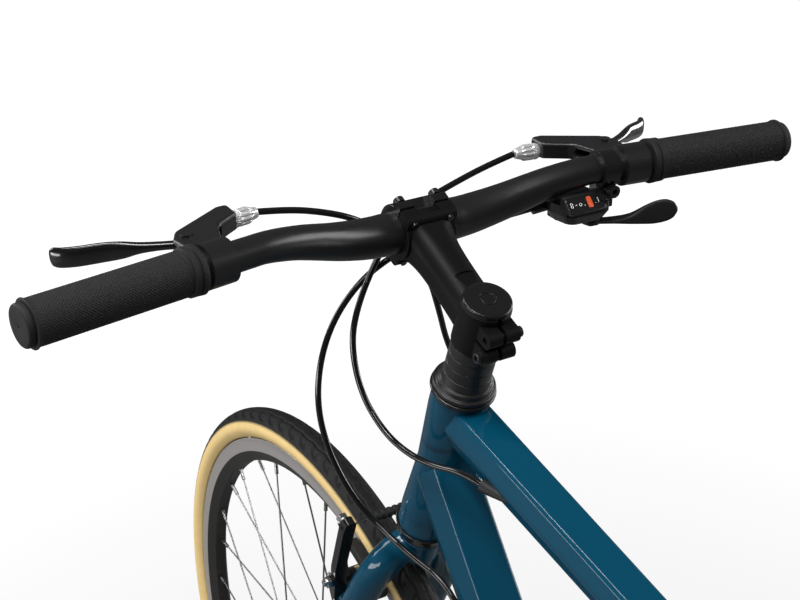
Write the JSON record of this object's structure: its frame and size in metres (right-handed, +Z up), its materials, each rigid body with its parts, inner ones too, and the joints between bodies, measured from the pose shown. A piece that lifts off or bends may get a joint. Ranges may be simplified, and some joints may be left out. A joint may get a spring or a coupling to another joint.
{
  "type": "hybrid bicycle",
  "caption": "Flat-bar hybrid bicycle with a rising bar, rim brakes, a trigger shifter, wide road tyres and a single chainring.",
  "frame": {"origin": "on the ground, midway between the two axles", "axes": "+X forward, +Y to the rider's left, +Z up"},
  "size_m": [1.7483, 0.6278, 1.0233],
  "materials": {
    "frame_paint": "gloss",
    "black_alloy": "satin",
    "silver_alloy": "satin",
    "steel": "satin",
    "tyre_rubber": "matte",
    "grip_rubber": "matte",
    "black_plastic": "matte",
    "saddle_cover": "satin"
  },
  "bodies": {
    "frame": {"head_tube": "frame_paint", "top_tube": "frame_paint", "down_tube": "frame_paint", "seat_tube": "frame_paint", "bottom_bracket_shell": "frame_paint", "rear_stays": "frame_paint", "dropouts": "frame_paint", "headset_cups": "black_alloy", "seat_clamp": "black_alloy", "bottom_bracket": "steel", "cable_guides": "black_plastic", "rear_axle": "steel", "rear_brake_cable": "black_plastic", "shift_cable": "black_plastic", "rear_cables": "black_plastic", "chain": "steel", "derailleur_body": "black_alloy"},
    "steering": {"steerer": "frame_paint", "fork_blades": "frame_paint", "front_axle": "steel", "headset_spacers": "black_alloy", "stem": "black_alloy", "stem_faceplate": "black_alloy", "stem_bolts": "steel", "top_cap": "black_alloy", "handlebar": "black_alloy", "grips": "grip_rubber", "brake_perches": "black_alloy", "barrel_adjusters": "silver_alloy", "shifter_pod": "black_plastic", "front_brake_cable": "black_plastic"},
    "front_wheel": {"front_tyre": "tyre_rubber", "front_rim": "silver_alloy", "front_spokes": "steel", "front_hub": "silver_alloy"},
    "rear_wheel": {"rear_tyre": "tyre_rubber", "rear_rim": "silver_alloy", "rear_spokes": "steel", "rear_hub": "silver_alloy"},
    "crankset": {"crank_spindle": "steel", "crank_arm_right": "black_alloy", "crank_arm_left": "black_alloy", "chainring": "black_alloy"},
    "left_pedal_body": {"left_pedal": "black_plastic"},
    "right_pedal_body": {"right_pedal": "black_plastic"},
    "cassette_body": {"cassette": "steel"},
    "cage": {"derailleur_cage": "steel"},
    "upper_pulley": {"guide_pulley": "black_plastic"},
    "lower_pulley": {"tension_pulley": "black_plastic"},
    "seat": {"seatpost": "black_alloy", "saddle_rails": "steel", "saddle": "saddle_cover"},
    "left_lever": {"left_brake_lever": "black_alloy"},
    "right_lever": {"right_brake_lever": "black_alloy"},
    "thumb_paddle": {"thumb_lever": "black_plastic"},
    "finger_trigger": {"release_lever": "black_plastic"},
    "front_left_arm": {"front_brake_arm_left": "black_alloy"},
    "front_right_arm": {"front_brake_arm_right": "black_alloy"},
    "rear_right_arm": {"rear_brake_arm_right": "black_alloy"},
    "rear_left_arm": {"rear_brake_arm_left": "black_alloy"}
  },
  "joints": [
    {"name": "steering_turn", "type": "hinge", "parent": "frame", "child": "steering", "pos_m": [0.2989, 0, 0.87313], "axis": [-0.3256, 0, 0.9455], "range_deg": [-45, 45], "deforming": ["rear_brake_cable", "shift_cable"]},
    {"name": "front_wheel_spin", "type": "hinge", "parent": "steering", "child": "front_wheel", "pos_m": [0.528, 0, 0.346], "axis": [0, 1, 0], "continuous": true},
    {"name": "rear_wheel_spin", "type": "hinge", "parent": "frame", "child": "rear_wheel", "pos_m": [-0.528, 0, 0.346], "axis": [0, 1, 0], "continuous": true},
    {"name": "crank_spin", "type": "hinge", "parent": "frame", "child": "crankset", "pos_m": [-0.0936, 0, 0.276], "axis": [0, 1, 0], "continuous": true, "deforming": ["chain"]},
    {"name": "left_pedal_spin", "type": "hinge", "parent": "crankset", "child": "left_pedal_body", "pos_m": [-0.2636, 0.12, 0.276], "axis": [0, 1, 0], "continuous": true},
    {"name": "right_pedal_spin", "type": "hinge", "parent": "crankset", "child": "right_pedal_body", "pos_m": [0.0764, -0.12, 0.276], "axis": [0, 1, 0], "continuous": true},
    {"name": "cassette_spin", "type": "hinge", "parent": "frame", "child": "cassette_body", "pos_m": [-0.528, 0, 0.346], "axis": [0, 1, 0], "continuous": true, "deforming": ["chain"]},
    {"name": "cage_swing", "type": "hinge", "parent": "frame", "child": "cage", "pos_m": [-0.52, -0.0456, 0.2724], "axis": [0, 1, 0], "range_deg": [-20, 25], "stiffness_Nm_per_rad": 3, "deforming": ["chain"]},
    {"name": "upper_pulley_spin", "type": "hinge", "parent": "cage", "child": "upper_pulley", "pos_m": [-0.52, -0.0456, 0.2724], "axis": [0, 1, 0], "continuous": true, "deforming": ["chain"]},
    {"name": "lower_pulley_spin", "type": "hinge", "parent": "cage", "child": "lower_pulley", "pos_m": [-0.50326, -0.0456, 0.21687], "axis": [0, 1, 0], "continuous": true, "deforming": ["chain"]},
    {"name": "seatpost_slide", "type": "slide", "parent": "frame", "child": "seat", "axis": [-0.2924, 0, 0.9563], "range_m": [-0.085, 0.055]},
    {"name": "left_lever_pull", "type": "hinge", "parent": "steering", "child": "left_lever", "pos_m": [0.37169, 0.1784, 1.00564], "axis": [0, 0, 1], "range_deg": [0, 28], "stiffness_Nm_per_rad": 1, "deforming": ["front_brake_cable"]},
    {"name": "right_lever_pull", "type": "hinge", "parent": "steering", "child": "right_lever", "pos_m": [0.37169, -0.1784, 1.00564], "axis": [0, 0, -1], "range_deg": [0, 28], "stiffness_Nm_per_rad": 1, "deforming": ["rear_cables"]},
    {"name": "thumb_push", "type": "hinge", "parent": "steering", "child": "thumb_paddle", "pos_m": [0.33879, -0.143, 0.96283], "axis": [0, 0, 1], "range_deg": [0, 30], "stiffness_Nm_per_rad": 0.4},
    {"name": "trigger_pull", "type": "hinge", "parent": "steering", "child": "finger_trigger", "pos_m": [0.36079, -0.128, 0.96283], "axis": [0, 0, -1], "range_deg": [0, 18], "stiffness_Nm_per_rad": 0.4},
    {"name": "front_left_arm_close", "type": "hinge", "parent": "steering", "child": "front_left_arm", "pos_m": [0.43043, 0.04, 0.61488], "axis": [0.9455, 0, 0.3256], "range_deg": [0, 3.2], "deforming": ["front_brake_cable"]},
    {"name": "front_right_arm_close", "type": "hinge", "parent": "steering", "child": "front_right_arm", "pos_m": [0.43043, -0.04, 0.61488], "axis": [-0.9455, 0, -0.3256], "range_deg": [0, 3.2], "deforming": ["front_brake_cable"]},
    {"name": "rear_right_arm_close", "type": "hinge", "parent": "frame", "child": "rear_right_arm", "pos_m": [-0.38594, -0.04, 0.59603], "axis": [-0.8132, 0, 0.582], "range_deg": [0, 3.2], "deforming": ["rear_cables"]},
    {"name": "rear_left_arm_close", "type": "hinge", "parent": "frame", "child": "rear_left_arm", "pos_m": [-0.38594, 0.04, 0.59603], "axis": [0.8132, 0, -0.582], "range_deg": [0, 3.2], "deforming": ["rear_cables"]}
  ],
  "couplings": [
    {"joint": "cassette_spin", "follows": "crank_spin", "ratio": 2.3333},
    {"joint": "upper_pulley_spin", "follows": "crank_spin", "ratio": -3.8182},
    {"joint": "lower_pulley_spin", "follows": "crank_spin", "ratio": 3.8182},
    {"joint": "front_left_arm_close", "follows": "left_lever_pull", "ratio": 0.10714},
    {"joint": "front_right_arm_close", "follows": "left_lever_pull", "ratio": 0.10714},
    {"joint": "rear_right_arm_close", "follows": "right_lever_pull", "ratio": 0.10714},
    {"joint": "rear_left_arm_close", "follows": "right_lever_pull", "ratio": 0.10714}
  ]
}
